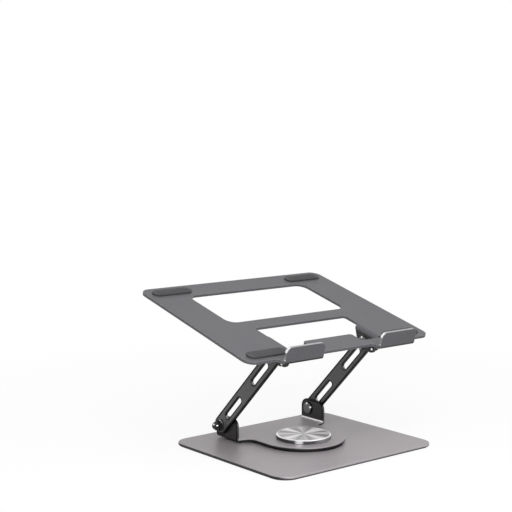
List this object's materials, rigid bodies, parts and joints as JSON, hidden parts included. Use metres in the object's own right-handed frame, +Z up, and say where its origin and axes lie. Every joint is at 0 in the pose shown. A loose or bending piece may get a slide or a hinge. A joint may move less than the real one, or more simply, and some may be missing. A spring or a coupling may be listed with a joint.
{
  "type": "laptop stand",
  "caption": "Folding laptop stand: base plate with a turning bracket, two slotted arms on friction hinges and a hooked tray that tilts.",
  "frame": {"origin": "centre of the base pad's underside, on the swivel axis, at the desk's surface", "axes": "+Z up, along the swivel axis; +X to the user's right; the user sits at -Y and the tray rises towards +Y"},
  "size_m": [0.223, 0.192, 0.1456],
  "materials": {
    "base_coat": "satin warm-grey metallic coat",
    "arm_coat": "satin grey metallic coat",
    "tray_coat": "satin grey metallic coat",
    "turned_aluminium": "fine turned rings, bright rim",
    "bolt_finish": "satin grey cap",
    "dark_hardware": "black zinc, satin",
    "bare_steel": "plain steel",
    "rubber": "matt black non-slip pad",
    "silicone": "matt dark grey silicone",
    "black_plastic": "black acetal",
    "white_plastic": "natural acetal",
    "tape": "double-sided foam tape"
  },
  "bodies": {
    "base": {"base_plate": "base_coat", "base_pad": "rubber", "swivel_hub": "bare_steel", "swivel_bolt": "dark_hardware", "swivel_spring": "bare_steel", "thrust_washer": "bare_steel"},
    "swivel": {"glide_ring": "black_plastic", "swivel_bracket": "base_coat", "upper_glide": "white_plastic", "cap_tape": "tape", "swivel_cap": "turned_aluminium", "lower_bolts": "bolt_finish", "lower_washers": "dark_hardware", "lower_springs": "dark_hardware", "lower_nuts": "dark_hardware"},
    "arms": {"arm_left": "arm_coat", "arm_right": "arm_coat", "lower_friction_washers": "bare_steel", "upper_friction_washers": "bare_steel"},
    "top_hinge": {"upper_bolts": "bolt_finish", "upper_washers": "dark_hardware", "upper_springs": "dark_hardware", "upper_nuts": "dark_hardware"},
    "tray": {"tray_plate": "tray_coat", "front_pads": "silicone", "rear_pads": "silicone", "hook_pads": "silicone", "stop_pins": "dark_hardware"}
  },
  "joints": [
    {"name": "swivel_turn", "type": "hinge", "parent": "base", "child": "swivel", "pos_m": [0, 0, 0.007], "axis": [0, 0, 1], "continuous": true},
    {"name": "arm_fold", "type": "hinge", "parent": "swivel", "child": "arms", "pos_m": [0, 0.0534, 0.0179], "axis": [1, 0, 0], "range_deg": [-30, 42]},
    {"name": "tray_level", "type": "hinge", "parent": "arms", "child": "top_hinge", "pos_m": [0, -0.02509, 0.09639], "axis": [1, 0, 0], "range_deg": [-42, 30]},
    {"name": "tray_tilt", "type": "hinge", "parent": "top_hinge", "child": "tray", "pos_m": [0, -0.02509, 0.09639], "axis": [1, 0, 0], "range_deg": [-15, 15]}
  ],
  "couplings": [
    {"joint": "tray_level", "follows": "arm_fold", "ratio": -1}
  ]
}
